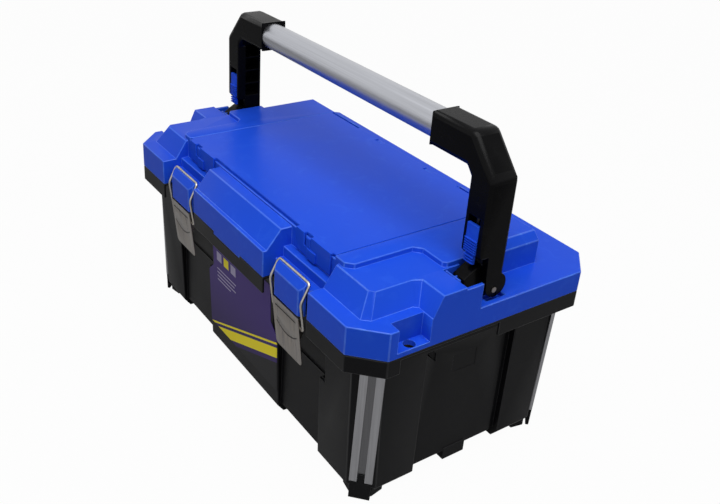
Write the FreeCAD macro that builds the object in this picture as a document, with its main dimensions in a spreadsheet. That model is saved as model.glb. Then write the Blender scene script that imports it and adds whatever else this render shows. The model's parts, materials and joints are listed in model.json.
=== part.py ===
"""Plastic tool box with an organiser lid, a folding carry handle and two steel toggle latches.

Frame: X runs along the box, -Y is the latch side, +Z is up.  The origin is on the ground, in
the middle of the footprint.  Millimetres.
"""
import FreeCAD, Part
import functools
import math
import os
import re
import Sketcher

# ---------------------------------------------------------------- driving dimensions
DIMENSIONS = {
    # outer envelope of the lid and the rim of the tub
    "lid_length": 560, "lid_width": 327, "lid_corner": 31, "wall": 3, "parting": 207, "seam": 0.3,
    "rim_height": 20.5, "rim_lap": 4, "rim_cut_front": 116, "rim_cut_back": 15,
    # heights of the steps of the lid, each above the one before
    "skirt_height": 25.5, "step_height": 8, "block_height": 23.5, "crown_height": 6,
    # drafted body of the tub, inside the rim by the overhang all round
    "overhang": 18.5, "body_corner": 23.6, "body_draft_x": 0.6, "body_draft_y": 5.6,
    "bevel": 9, "bevel_top": 17, "floor_base": 5, "floor_top": 9,
    # latch bays: middle, half widths in lid and tub, depths behind the tub's front, drop of the pocket
    "bay": 134, "bay_half": 46, "pocket_half": 56, "channel_half": 45, "pocket_drop": 83,
    "pocket_deep": 12, "bay_deep": 8, "channel_base_deep": 24, "hook_ledge_inset": 7.9,
    # recess in each end wall, the blind slot and the sunk panel in it
    "end_bay_half": 64, "end_bay_depth": 6, "slot_width": 8, "slot_deep": 2.4, "panel_half": 17,
    "panel_middle": 3.6, "panel_base": 134.5, "panel_height": 23.5,
    # organiser in the lid
    "cover_inset": 25, "cover_front_inset": 38.5, "cover_back_inset": 65.5, "bin_deep": 34,
    # raised blocks of the lid
    "end_ledge": 40, "plateau_lip": 3, "ring_inset": 43, "block_inset": 33.5, "block_slope": 15,
    "block_inner": 70, "tab_back": 17, "arm_bay_front": 39.5, "rib_back": 31, "lip_half": 33,
    "lip_drop": 3.6, "rear_chamfer": 9,
    # handle
    "pivot_y": 5.5, "pivot_height": 11, "pin_radius": 2.6, "arm_inset": 8, "arm_width": 30,
    "arm_front": 20, "arm_back": 16, "bar_height": 122, "elbow_half": 19, "elbow_end": 176,
    "tube_radius": 17, "tube_wall": 1.6, "hub_radius": 10.2, "cheek_radius": 14, "cheek_y": 2.5,
    "cheek_z": 4.5, "lug_inset": 17, "lug_half": 8.5, "lug_gap": 0.5, "fit": 0.05,
    # slide lock
    "slide_half": 8.5, "slide_height": 16, "slide_length": 32, "slide_travel": 8, "slide_thick": 4,
    "slide_gap": 0.4, "spring_radius": 2.6,
    # latches: insets from the lid's front, and heights below the parting line or above it
    "wire_radius": 1.6, "wire_inset": 12.6, "wire_height": 31, "bail_half": 31.6, "bend_inset": 1.8,
    "bend_height": 9, "plate_pivot_inset": 6.7, "plate_pivot_drop": 26, "plate_half": 27.4,
    "plate_drop": 11.5, "plate_length": 65.5, "plate_thick": 1.4, "plate_inset": 1.7, "plate_lean": 7.5,
    "keeper_half": 29, "keeper_drop": 10, "keeper_inset": 2.5, "keeper_deep": 8.2, "keeper_slope": 9,
    "keeper_corner": 4.5,
    # rear hinge
    "hinge_outset": 4.8, "knuckle_radius": 4.5, "hinge_pin_radius": 2, "knuckle_length": 36,
    "knuckle_gap": 0.4, "hinge_x": 150,
    # hinge rod of the organiser cover
    "rod_inset": 1.4, "rod_drop": 4.2, "rod_radius": 1.5, "rod_length": 212,
    # corner strips and their end caps
    "strip_width": 26, "strip_thick": 4, "strip_base": 25.6, "groove_half": 4,
    # padlock eyes
    "eye_inset": 8, "eye_back": 62, "eye_radius": 6.5, "eye_height": 6.5, "eye_deep": 6.5, "eye_half": 20,
    # label on the front wall
    "label_half": 88, "label_base": 38, "label_drop": 2.5, "label_thick": 0.5,
}

# places and sizes that follow from the driving dimensions
DERIVED = {
    "body_length": "(lid_length - 2*overhang)", "body_width": "(lid_width - 2*overhang)",
    "rim_base": "(parting - rim_height)", "rear_ledge": "(parting + skirt_height)",
    "front_ledge": "(rear_ledge + step_height)", "shoulder": "(front_ledge + block_height)",
    "lid_top": "(shoulder + crown_height)", "pocket_base": "(parting - pocket_drop)",
    "pocket_back": "(body_width/2 - pocket_deep)", "bay_back": "(body_width/2 - bay_deep)",
    "plateau_length": "(lid_length - 2*end_ledge)", "ring_length": "(plateau_length - 2*ring_inset)",
    "cover_length": "(ring_length - 2*cover_inset)", "cover_front": "(lid_width/2 - cover_front_inset)",
    "cover_back": "(lid_width/2 - cover_back_inset)", "plateau_back": "(cover_back + plateau_lip)",
    "bin_floor": "(lid_top - bin_deep)", "block_front": "(lid_width/2 - block_inset)",
    "pivot_z": "(rear_ledge + pivot_height)", "arm_outer": "(lid_length/2 - arm_inset)",
    "lug_x": "(arm_outer - lug_inset)", "bar_z": "(lid_top + bar_height)",
    "slide_base": "(lid_top + slide_height)", "slide_top": "(slide_base + slide_length)",
    "wire_y": "(lid_width/2 - wire_inset)", "wire_z": "(parting + wire_height)",
    "bend_y": "(lid_width/2 - bend_inset)", "bend_z": "(parting + bend_height)",
    "plate_pivot_y": "(lid_width/2 - plate_pivot_inset)", "plate_pivot_z": "(parting - plate_pivot_drop)",
    "plate_top": "(parting - plate_drop)", "plate_base": "(plate_top - plate_length)",
    "plate_front": "(lid_width/2 - plate_inset)", "keeper_base": "(parting - keeper_drop)",
    "keeper_front": "(lid_width/2 - keeper_inset)", "keeper_back": "(keeper_front - keeper_deep)",
    "keeper_crown": "(wire_z - keeper_slope)", "hinge_y": "(lid_width/2 + hinge_outset)",
    "hinge_z": "parting", "rod_y": "(cover_back - rod_inset)", "rod_z": "(lid_top - rod_drop)",
    "eye_x": "(lid_length/2 - eye_inset)", "eye_y": "(lid_width/2 - eye_back)",
    "eye_floor": "(parting + eye_height)", "label_top": "(rim_base - label_drop)",
}

doc = FreeCAD.newDocument("ToolBox")
sheet = doc.addObject("Spreadsheet::Sheet", "Dims")
for row, (name, size) in enumerate(DIMENSIONS.items(), 1):
    sheet.set(f"A{row}", str(size))
    sheet.setAlias(f"A{row}", name)
doc.recompute()

probe = doc.addObject("App::FeaturePython", "Probe")
probe.addProperty("App::PropertyFloat", "Value")


# ---------------------------------------------------------------- helpers
def bound(text):
    """Expression text in driving dimensions only, each pointed at the sheet."""
    text = str(text)
    while set(re.findall(r"[a-z]\w*", text)) & set(DERIVED):
        text = re.sub(r"[a-z]\w*", lambda word: DERIVED.get(word.group(0), word.group(0)), text)
    return re.sub(r"[a-z]\w*", lambda word: "Dims." + word.group(0), text)


@functools.lru_cache(maxsize=None)
def number(text):
    """Present value of an expression in the sheet's aliases."""
    probe.setExpression("Value", bound(text))
    probe.recompute()
    return probe.Value


def new_body(label):
    """An empty PartDesign body; its label names the exported file."""
    made = doc.addObject("PartDesign::Body", label)
    made.Label = label
    place(made)
    return made


def add_circle(sketch, x, y, radius):
    """Circle held by its centre and radius."""
    centre = FreeCAD.Vector(number(x), number(y), 0)
    index = sketch.addGeometry(Part.Circle(centre, FreeCAD.Vector(0, 0, 1), number(radius)), False)
    for kind, text, size in (("DistanceX", x, centre.x), ("DistanceY", y, centre.y)):
        held = sketch.addConstraint(Sketcher.Constraint(kind, -1, 1, index, 3, size))
        sketch.setExpression(f"Constraints[{held}]", bound(text))
    held = sketch.addConstraint(Sketcher.Constraint("Radius", index, number(radius)))
    sketch.setExpression(f"Constraints[{held}]", bound(radius))


def add_outline(sketch, corners):
    """Closed polygon whose corners are each held at their own distances from the origin."""
    points = [FreeCAD.Vector(number(x), number(y), 0) for x, y in corners]
    first, count = sketch.GeometryCount, len(points)
    sketch.addGeometry([Part.LineSegment(points[i], points[(i + 1) % count]) for i in range(count)], False)
    sketch.addConstraint([Sketcher.Constraint("Coincident", first + i, 2, first + (i + 1) % count, 1)
                          for i in range(count)])
    for i, (x, y) in enumerate(corners):
        for kind, text, size in (("DistanceX", x, points[i].x), ("DistanceY", y, points[i].y)):
            held = sketch.addConstraint(Sketcher.Constraint(kind, -1, 1, first + i, 1, size))
            sketch.setExpression(f"Constraints[{held}]", bound(text))


def new_sketch(body, plane, start, loops):
    """Sketch on one of the body's origin planes, moved to start along that plane's world axis."""
    sketch = body.newObject("Sketcher::SketchObject", "Sketch")
    origin = next(f for f in body.Origin.OriginFeatures if f.Role == plane + "_Plane")
    sketch.AttachmentSupport = [(origin, "")]
    sketch.MapMode = "FlatFace"
    sketch.setExpression("AttachmentOffset.Base.z", bound(f"-({start})" if plane == "XZ" else start))
    for loop in loops:
        if loop[0] == "circle":
            add_circle(sketch, *loop[1:])
        else:
            add_outline(sketch, loop)
    return sketch


def grow(body, plane, start, length, *loops):
    """Pad from start towards the plane's positive world axis."""
    pad = body.newObject("PartDesign::Pad", "Pad")
    pad.Profile = new_sketch(body, plane, start, loops)
    pad.setExpression("Length", bound(length))
    pad.Reversed = plane == "XZ"
    pad.Refine = False
    return pad


def carve(body, plane, start, length, *loops):
    """Pocket from start towards the plane's positive world axis."""
    pocket = body.newObject("PartDesign::Pocket", "Pocket")
    pocket.Profile = new_sketch(body, plane, start, loops)
    pocket.setExpression("Length", bound(length))
    pocket.Reversed = plane != "XZ"
    pocket.Refine = False
    return pocket


def blend_up(body, kind, low, low_loop, high, high_loop):
    """Ruled loft between two level outlines; kind is Additive or Subtractive."""
    loft = body.newObject(f"PartDesign::{kind}Loft", "Loft")
    loft.Profile = new_sketch(body, "XY", low, [low_loop])
    loft.Sections = [(new_sketch(body, "XY", high, [high_loop]), "")]
    loft.Ruled = True
    loft.Refine = False
    return loft


def both(make):
    """The same outline on the left and on the right; make takes "-1" or "1"."""
    return [make("-1"), make("1")]


def box_loop(x0, x1, y0, y1):
    """Rectangle between two values on each sketch axis."""
    return [(x0, y0), (x1, y0), (x1, y1), (x0, y1)]


def octagon(half_x, half_y, corner):
    """Rectangle about the origin with its four corners cut off."""
    return [(f"{sx}({half_x}) {'-' if sx == '' else '+'} {cx}", f"{sy}({half_y}) {'-' if sy == '' else '+'} {cy}")
            for sx, sy, cx, cy in (("", "-", "0", corner), ("", "", "0", corner), ("", "", corner, "0"),
                                   ("-", "", corner, "0"), ("-", "", "0", corner), ("-", "-", "0", corner),
                                   ("-", "-", corner, "0"), ("", "-", corner, "0"))]


def twelve_sides(x, y, radius):
    """Corners of a regular twelve-sided rod, for wires too thin to need a full circle."""
    turns = [(math.cos(math.radians(30 * step)), math.sin(math.radians(30 * step))) for step in range(12)]
    return [(f"{x} + {radius}*{a:.4f}", f"{y} + {radius}*{b:.4f}") for a, b in turns]


def span(side, low, high):
    """Start and length of a feature between low and high on one side of the middle plane."""
    return f"{side}*(({low}) + ({high}))/2 - (({high}) - ({low}))/2", f"({high}) - ({low})"


def place(piece, x="0", y="0", z="0", rotation=FreeCAD.Rotation()):
    """Put a finished piece where it belongs, with the footprint's middle on the origin."""
    piece.Placement = FreeCAD.Placement(FreeCAD.Vector(), rotation)
    for coordinate, text in zip("xyz", (x, f"{y} - (hinge_y + knuckle_radius - lid_width/2)/2", z)):
        piece.setExpression(f"Placement.Base.{coordinate}", bound(text))


LID = octagon("lid_length/2", "lid_width/2", "lid_corner")
RISE = "(parting - rim_lap - bevel_top)"
SIDES = (("left", "-1"), ("right", "1"))
pieces = []


# ---------------------------------------------------------------- tub
def make_tub():
    tub = new_body("tub")
    upper = octagon("body_length/2", "body_width/2", "body_corner")
    lower = octagon("body_length/2 - body_draft_x", "body_width/2 - body_draft_y", "body_corner")
    base = octagon("body_length/2 - body_draft_x - bevel", "body_width/2 - body_draft_y - bevel",
                   "body_corner - bevel/2")
    blend_up(tub, "Additive", "bevel_top", lower, "parting - rim_lap", upper)
    blend_up(tub, "Additive", "floor_base", base, "bevel_top", lower)
    grow(tub, "XY", "rim_base", "parting - rim_base", LID)
    # hollow inside
    inner_upper = octagon("body_length/2 - wall", "body_width/2 - wall", "body_corner - 0.4*wall")
    inner_lower = octagon("body_length/2 - body_draft_x - wall", "body_width/2 - body_draft_y - wall",
                          "body_corner - 0.4*wall")
    inner_base = octagon("body_length/2 - body_draft_x - wall - bevel/2",
                         "body_width/2 - body_draft_y - wall - bevel/2", "body_corner - bevel/2")
    blend_up(tub, "Subtractive", "bevel_top", inner_lower, "parting + 1", inner_upper)
    blend_up(tub, "Subtractive", "floor_top", inner_base, "bevel_top", inner_lower)
    # the rim is a skirt that hangs clear of the body
    carve(tub, "XY", "rim_base", "parting - rim_base - wall",
          octagon("lid_length/2 - wall", "lid_width/2 - wall", "lid_corner - 1.2"),
          octagon("body_length/2 + 0.2", "body_width/2 + 0.2", "body_corner"))
    # along each end the skirt is cut away, up to the flange; the front edge has a notch for the lid's lip
    carve(tub, "XY", "rim_base - 1", "rim_height - wall + 1",
          *both(lambda side: box_loop(f"{side}*(lid_length/2 - wall - 0.5)", f"{side}*(lid_length/2 + 1)",
                                      "-rim_cut_front", "rim_cut_back")))
    carve(tub, "XY", "parting - lip_drop - 0.4", "lip_drop + 2",
          box_loop("-lip_half - 0.5", "lip_half + 0.5", "-lid_width/2 - 1", "-lid_width/2 + wall"))
    add_latch_pockets(tub)
    add_end_bays(tub)
    # padlock eyes through the rim, and moulded feet under the four corners
    carve(tub, "XY", "parting - wall - 1", "12",
          *both(lambda side: ("circle", f"{side}*eye_x", "-eye_y", "eye_radius")))
    grow(tub, "XY", "0", "12", *(foot_outline(side, front) for front in ("-1", "1") for side in ("-1", "1")))
    add_knuckles(tub, "-1", "1.5", ("0",))
    return tub


def add_latch_pockets(tub):
    """Pocket and channel behind each latch, their inner walls, and the ledge the latch hooks under."""
    pocket_inner = "-pocket_back + wall + 0.4"
    grow(tub, "XY", "pocket_base - wall", "parting - pocket_base + wall",
         *both(lambda side: box_loop(f"{side}*bay - pocket_half - wall", f"{side}*bay + pocket_half + wall",
                                     "-body_width/2 + body_draft_y", pocket_inner)))
    grow(tub, "XY", "floor_top - 2", "pocket_base - floor_top + 2",
         *both(lambda side: box_loop(f"{side}*bay - channel_half - wall", f"{side}*bay + channel_half + wall",
                                     "-body_width/2 + 7", pocket_inner)))
    grow(tub, "XY", "floor_base", "18",
         *both(lambda side: box_loop(f"{side}*bay - channel_half - wall", f"{side}*bay + channel_half + wall",
                                     "-body_width/2 + 16", "-body_width/2 + channel_base_deep + wall")))
    carve(tub, "XY", "pocket_base", "rim_base - pocket_base",
          *both(lambda side: box_loop(f"{side}*bay - pocket_half", f"{side}*bay + pocket_half",
                                      "-body_width/2 - 3", "-pocket_back")))
    carve(tub, "XY", "rim_base - 1", "parting - rim_base + 2",
          *both(lambda side: box_loop(f"{side}*bay - bay_half", f"{side}*bay + bay_half",
                                      "-lid_width/2 - 5", "-bay_back")))
    carve(tub, "XY", "0", "pocket_base",
          *both(lambda side: box_loop(f"{side}*bay - channel_half", f"{side}*bay + channel_half",
                                      "-body_width/2 - 5", "-pocket_back - 2")))
    carve(tub, "XY", "0", "19.5",
          *both(lambda side: box_loop(f"{side}*bay - channel_half", f"{side}*bay + channel_half",
                                      "-body_width/2 - 5", "-body_width/2 + channel_base_deep")))
    grow(tub, "XY", "rim_base + 4", "5",
         *both(lambda side: box_loop(f"{side}*bay - 20", f"{side}*bay + 20", "-lid_width/2 + hook_ledge_inset",
                                     "-bay_back + 2")))
    # the channels' side walls end on the tub's bottom bevel
    front = "-body_width/2 + body_draft_y"
    carve(tub, "YZ", "-body_length/2 + 30", "body_length - 60",
          [("-body_width/2 - 5", "-1"), ("-body_width/2 - 5", "bevel_top"), (front, "bevel_top"),
           (f"{front} + bevel", "floor_base"), (f"{front} + bevel", "-1")])


def add_end_bays(tub):
    """Recessed bay in each end wall, with the raised edge and the lug below it."""
    def strip(side, outer, inner, half):
        face = f"{side}*(body_length/2"
        return box_loop(f"{face} - {inner})", f"{face} + {outer})", f"-{half}", half)
    grow(tub, "XY", "floor_base", "parting - floor_base - 4",
         *both(lambda side: strip(side, "-1.5", "end_bay_depth - wall", "(end_bay_half + wall)")))
    grow(tub, "XY", "floor_base", "18", *both(lambda side: strip(side, "-8", "24", "(end_bay_half + wall)")))
    carve(tub, "XY", "0", "rim_base - 6", *both(lambda side: strip(side, "5", "end_bay_depth", "end_bay_half")))
    carve(tub, "XY", "0", "19.5", *both(lambda side: strip(side, "5", "21", "end_bay_half")))
    # blind slot along the recess's rear edge, its wall inside the tub, a blind notch and a sunk panel
    inside = "(body_length/2 - end_bay_depth"
    grow(tub, "XY", "bevel_top + 3", "rim_base - bevel_top",
         *both(lambda side: box_loop(f"{side}*{inside} - wall - slot_deep)", f"{side}*{inside} - wall + 0.5)",
                                     "end_bay_half - slot_width - wall", "end_bay_half + wall")))
    carve(tub, "XY", "bevel_top + 2.5", "rim_base - bevel_top - 8.5",
          *both(lambda side: box_loop(f"{side}*{inside} - slot_deep)", f"{side}*{inside} + 4)",
                                      "end_bay_half - slot_width", "end_bay_half")))
    for _, side in SIDES:
        start, length = span(side, f"{inside} - 2)", f"{inside} + 1)")
        carve(tub, "YZ", start, length,
              [("-end_bay_half + 1", "rim_base - 9.5"), ("-end_bay_half + 17.5", "rim_base - 26.5"),
               ("-end_bay_half + 17", "rim_base - 16"), ("-end_bay_half + 13", "rim_base - 10.5")])
        start, length = span(side, f"{inside} - 0.6)", f"{inside} + 1)")
        carve(tub, "YZ", start, length,
              box_loop("-panel_middle - panel_half", "-panel_middle + panel_half", "panel_base",
                       "panel_base + panel_height"))
    # the recess's side walls end on the tub's bottom bevel
    carve(tub, "XZ", "-body_width/2 + 30", "body_width - 60",
          *both(lambda side: [(f"{side}*(body_length/2 + 5)", "-1"), (f"{side}*(body_length/2 + 5)", "bevel_top"),
                              (f"{side}*(body_length/2 - body_draft_x)", "bevel_top"),
                              (f"{side}*(body_length/2 - body_draft_x - bevel)", "floor_base"),
                              (f"{side}*(body_length/2 - body_draft_x - bevel)", "-1")]))
    grow(tub, "XY", "7", "17", *both(lambda side: strip(side, "-5", "26", "16")))


def foot_outline(side, front):
    """Outline of the moulded foot in one corner of the tub."""
    edge_x = f"{side}*(body_length/2 - body_draft_x"
    edge_y = f"{front}*(body_width/2 - body_draft_y"
    return [(f"{edge_x} - 40)", f"{edge_y} - 8.5)"), (f"{edge_x} - 23)", f"{edge_y} - 5.5)"),
            (f"{edge_x} - 5.5)", f"{edge_y} - 23)"), (f"{edge_x} - 8.5)", f"{edge_y} - 40)"),
            (f"{edge_x} - 40)", f"{edge_y} - 40)")]


def add_knuckles(body, way, reach, others):
    """Two groups of hinge knuckles; way is 1 above the parting line and -1 below it.

    Each group reaches that many knuckle lengths either way from hinge_x, and others numbers the
    places in it that belong to the other half of the hinge.
    """
    outside = f"hinge_x + {reach}*knuckle_length"
    grow(body, "YZ", f"-({outside})", f"2*({outside})",
         [("lid_width/2 - 2", f"hinge_z + {way}*3.2"), ("lid_width/2 - 2", f"hinge_z + {way}*16"),
          ("lid_width/2 + 0.5", f"hinge_z + {way}*16"), ("hinge_y + 0.707*knuckle_radius",
          f"hinge_z + {way}*0.707*knuckle_radius"), ("hinge_y", f"hinge_z + {way}*0.5")])
    grow(body, "YZ", f"-({outside})", f"2*({outside})", ("circle", "hinge_y", "hinge_z", "knuckle_radius"))
    gaps = [box_loop(f"-hinge_x + {reach}*knuckle_length - knuckle_gap",
                     f"hinge_x - {reach}*knuckle_length + knuckle_gap", "lid_width/2", "hinge_y + 10")]
    for middle in ("-hinge_x", "hinge_x"):
        gaps += [box_loop(f"{middle} + ({place_no} - 0.5)*knuckle_length - knuckle_gap",
                          f"{middle} + ({place_no} + 0.5)*knuckle_length + knuckle_gap",
                          "lid_width/2", "hinge_y + 10") for place_no in others]
    carve(body, "XY", "hinge_z - 20", "40", *gaps)
    carve(body, "YZ", "-lid_length/2", "lid_length", ("circle", "hinge_y", "hinge_z", "hinge_pin_radius + fit"))


# ---------------------------------------------------------------- lid
def make_lid():
    lid = new_body("lid_shell")
    base, half = "parting + seam", "plateau_length/2"
    grow(lid, "XY", base, "rear_ledge - parting - seam", LID)
    grow(lid, "XY", "rear_ledge - 1", "front_ledge - rear_ledge + 1",
         [("lid_length/2", "-tab_back"), ("-lid_length/2", "-tab_back"),
          ("-lid_length/2", "-lid_width/2 + lid_corner"), ("-lid_length/2 + lid_corner", "-lid_width/2"),
          ("lid_length/2 - lid_corner", "-lid_width/2"), ("lid_length/2", "-lid_width/2 + lid_corner")])
    grow(lid, "XY", "rear_ledge - 1", "shoulder - rear_ledge + 1",
         box_loop(f"-{half}", half, "-cover_front - 2", "plateau_back"))
    # nose between the two latch bays
    grow(lid, "YZ", "-bay + bay_half", "2*bay - 2*bay_half",
         [("-lid_width/2", "front_ledge - 10"), ("-lid_width/2", "front_ledge - 6"),
          ("-lid_width/2 + 22.5", "shoulder - 1"),
          ("-cover_front + 2", "shoulder - 1"), ("-cover_front + 2", "front_ledge - 10")])
    for _, side in SIDES:
        add_front_block(lid, side)
    # raised ring round the organiser cover
    ring = "ring_length/2"
    grow(lid, "XY", "shoulder - 1", "lid_top - shoulder + 1",
         [(f"-{ring} + 8", "-cover_front - 2"), (f"{ring} - 8", "-cover_front - 2"), (ring, "-cover_front + 6"),
          (ring, "-45"), (f"{ring} + 8", "-37"), (f"{half} - 4", "-37"), (half, "-33"),
          (half, "plateau_back"), (f"-{half}", "plateau_back"), (f"-{half}", "-33"), (f"-{half} + 4", "-37"),
          (f"-{ring} - 8", "-37"), (f"-{ring}", "-45"), (f"-{ring}", "-cover_front + 6")])
    hollow_lid(lid)
    # latch bays, each with its back wall and keeper
    carve(lid, "XY", "parting", "lid_top - parting",
          *both(lambda side: box_loop(f"{side}*bay - bay_half", f"{side}*bay + bay_half",
                                      "-lid_width/2 - 5", "-bay_back")))
    grow(lid, "XY", base, "front_ledge - parting - seam",
         *both(lambda side: box_loop(f"{side}*bay - bay_half", f"{side}*bay + bay_half",
                                     "-bay_back", "-bay_back + wall")))
    for hand in ("-1", "1"):
        grow(lid, "XY", base, "rear_ledge - parting - seam - 1",
             *both(lambda side: box_loop(f"{side}*bay + {hand}*bay_half", f"{side}*bay + {hand}*(bay_half + wall)",
                                         "-lid_width/2 + 1", "-bay_back + wall")))
    # lip that drops into the notch of the tub's rim, and the chamfer along the plateau's rear ends
    grow(lid, "XY", "parting - lip_drop", "lip_drop + wall",
         box_loop("-lip_half", "lip_half", "-lid_width/2", "-lid_width/2 + wall - 0.4"))
    carve(lid, "XZ", "arm_back + 1", "plateau_back - arm_back",
          *both(lambda side: [(f"{side}*({half} + 1)", "lid_top - rear_chamfer - 1"),
                              (f"{side}*({half} + 1)", "lid_top + 1"),
                              (f"{side}*({half} - rear_chamfer - 1)", "lid_top + 1")]))
    add_keepers(lid)
    # organiser bins, seat for the cover and trough for its hinge
    carve(lid, "XY", "bin_floor", "lid_top - bin_floor + 5",
          box_loop("-cover_length/2 + 4", "cover_length/2 - 4", "-cover_front + 6", "cover_back - 8"))
    carve(lid, "XY", "lid_top - 4", "8",
          box_loop("-cover_length/2 - 1", "cover_length/2 + 1", "-cover_front - 3", "cover_back + 1"))
    carve(lid, "XY", "rod_z - 3.5", "12",
          box_loop("-rod_length/2", "rod_length/2", "rod_y - 3.5", "plateau_back + 1"))
    grow(lid, "XY", "bin_floor - 1", "26",
         *(box_loop(f"{wall_x} - 1", f"{wall_x} + 1", "-cover_front + 5", "cover_back - 7")
           for wall_x in ("-84", "0", "84")))
    grow(lid, "XY", "rod_z - 4.5", "7.5",
         *both(lambda side: box_loop(f"{side}*52 - 7", f"{side}*52 + 7", "rod_y - 2.6", "rod_y + 2.6")))
    carve(lid, "YZ", "-rod_length/2 - 4", "rod_length + 8", ("circle", "rod_y", "rod_z", "rod_radius + fit"))
    add_arm_bays(lid)
    add_hub_recesses(lid)
    add_padlock_eyes(lid)
    add_knuckles(lid, "1", "0.5", ())
    return lid


def add_front_block(lid, side):
    """Sloped block on one front corner of the lid."""
    inside, end = f"{side}*(bay + bay_half)", f"{side}*lid_length/2"
    foot_x, top_x = f"{side}*(plateau_length/2 + 13.5", f"{side}*(plateau_length/2 + 1.5"
    blend_up(lid, "Additive", "front_ledge - 0.5",
             [(inside, "-block_front - block_slope"), (f"{foot_x} - 7)", "-block_front - block_slope"),
              (f"{foot_x})", "-block_front - block_slope + 8"), (f"{foot_x})", "-block_inner - 16"),
              (f"{foot_x} + 4)", "-block_inner - 11"), (end, "-block_inner - 11"),
              (end, "-tab_back"), (inside, "-tab_back")],
             "shoulder",
             [(inside, "-block_front"), (f"{top_x} - 5.5)", "-block_front"),
              (f"{top_x})", "-block_front + 5"), (f"{top_x})", "-block_inner - 10"),
              (f"{top_x} + 4)", "-block_inner"), (end, "-block_inner"),
              (end, "-tab_back"), (inside, "-tab_back")])


def hollow_lid(lid):
    """Underside of the lid: skirt, hollow plateau, hollow nose and hollow blocks."""
    half = "plateau_length/2"
    carve(lid, "XY", "parting", "rear_ledge - wall - parting",
          octagon("lid_length/2 - wall", "lid_width/2 - wall", "lid_corner - 1.2"))
    carve(lid, "XY", "parting", "bin_floor - wall - parting",
          box_loop(f"-{half} + wall", f"{half} - wall", "-cover_front + 2", "plateau_back - wall"))
    carve(lid, "YZ", "-bay + bay_half + wall", "2*bay - 2*bay_half - 2*wall",
          [("-lid_width/2 + wall", "parting"), ("-lid_width/2 + wall", "front_ledge - 8"),
           ("-lid_width/2 + 24", "shoulder - 4.2"), ("-cover_front - 2", "shoulder - 4.2"), ("-cover_front - 2", "parting")])
    carve(lid, "XY", "parting", "shoulder - wall - parting",
          *both(lambda side: box_loop(f"{side}*(cover_length/2 + 5)", f"{side}*({half} - wall)",
                                      "-cover_front + 2", "plateau_back - wall")))
    carve(lid, "XY", "parting", "shoulder - wall - parting - 3",
          *both(lambda side: box_loop(f"{side}*({half} - wall - 1)", f"{side}*(lid_length/2 - wall)",
                                      "-block_inner + 1.5", "-arm_bay_front - wall")))


def add_keepers(lid):
    """Blocks that the wire bails pass round, each on a neck under the wire."""
    for _, side in SIDES:
        grow(lid, "YZ", f"{side}*bay - keeper_half", "2*keeper_half",
             [("-keeper_front", "keeper_base"), ("-keeper_front", "keeper_crown"), ("-keeper_back", "wire_z"),
              ("-keeper_back", "keeper_base")])
        for hand in ("-1", "1"):
            edge = f"{side}*bay + {hand}*"
            carve(lid, "XY", "keeper_base - 1", "wire_z - keeper_base",
                  [(f"{edge}(keeper_half + 1)", "-keeper_front - 1"), (f"{edge}(keeper_half + 1)",
                   "-keeper_front + keeper_corner + 1"), (f"{edge}(keeper_half - keeper_corner - 1)", "-keeper_front - 1")])
    shelf = "-bay_back - 10"
    grow(lid, "XY", "wire_z - 14", "4",
         *both(lambda side: [(f"{side}*bay - keeper_half", "-keeper_back - 0.5"),
                             (f"{side}*bay + keeper_half", "-keeper_back - 0.5"),
                             (f"{side}*bay + keeper_half", shelf), (f"{side}*bay + bay_half + 1", shelf),
                             (f"{side}*bay + bay_half + 1", "-bay_back + 1"),
                             (f"{side}*bay - bay_half - 1", "-bay_back + 1"),
                             (f"{side}*bay - bay_half - 1", shelf), (f"{side}*bay - keeper_half", shelf)]))


def add_arm_bays(lid):
    """Sunk bays for the handle brackets, open at the back, each with a low outer wall."""
    inner, outer = "(plateau_length/2 + 1.5)", "(arm_outer + 3.5)"
    carve(lid, "XY", "rear_ledge", "lid_top - rear_ledge",
          *both(lambda side: box_loop(f"{side}*{inner}", f"{side}*{outer}", "-arm_bay_front", "-tab_back + 4")))
    carve(lid, "XY", "shoulder - 2.5", "8",
          *both(lambda side: box_loop(f"{side}*(arm_outer + 3)", f"{side}*(lid_length/2 + 1)",
                                      "-arm_bay_front", "-tab_back + 4")))


def add_hub_recesses(lid):
    """Cross ribs in front of each bracket, and the sunk place that the folded arm's hub turns in."""
    inner, outer = "lug_x + lug_half - 0.5", "arm_outer + 0.6"
    deep = "rear_ledge - 6.1"
    for _, side in SIDES:
        grow(lid, "XY", "rear_ledge - 1", "shoulder - rear_ledge - 1",
             box_loop(f"{side}*(plateau_length/2)", f"{side}*(lug_x + lug_half)", "-rib_back - 5", "-rib_back - 3"))
        grow(lid, "XY", "rear_ledge - 1", "shoulder - rear_ledge - 1",
             box_loop(f"{side}*(lug_x - 2)", f"{side}*lug_x", "-arm_bay_front - 1", "-rib_back"))
        grow(lid, "XY", f"{deep} - wall", "wall + 5",
             box_loop(f"{side}*({inner} - wall)", f"{side}*({outer} + wall)", "pivot_y - 11", "arm_back + 10"))
        carve(lid, "XY", deep, "10",
              box_loop(f"{side}*({inner})", f"{side}*({outer})", "pivot_y - 8", "arm_back + 7"))


def add_padlock_eyes(lid):
    """Niche at each front end with a hole through its floor for a padlock."""
    grow(lid, "XY", "parting + seam", "front_ledge - parting - seam - 1",
         *both(lambda side: box_loop(f"{side}*(eye_x - eye_deep - wall)", f"{side}*(lid_length/2 - 1)",
                                     "-eye_y - eye_half - wall", "-eye_y + eye_half + wall")))
    carve(lid, "XY", "eye_floor", "front_ledge - eye_floor + 1",
          *both(lambda side: box_loop(f"{side}*(eye_x - eye_deep)", f"{side}*(lid_length/2 + 5)",
                                      "-eye_y - eye_half", "-eye_y + eye_half")))
    carve(lid, "XY", "parting", "12", *both(lambda side: ("circle", f"{side}*eye_x", "-eye_y", "eye_radius")))


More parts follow.
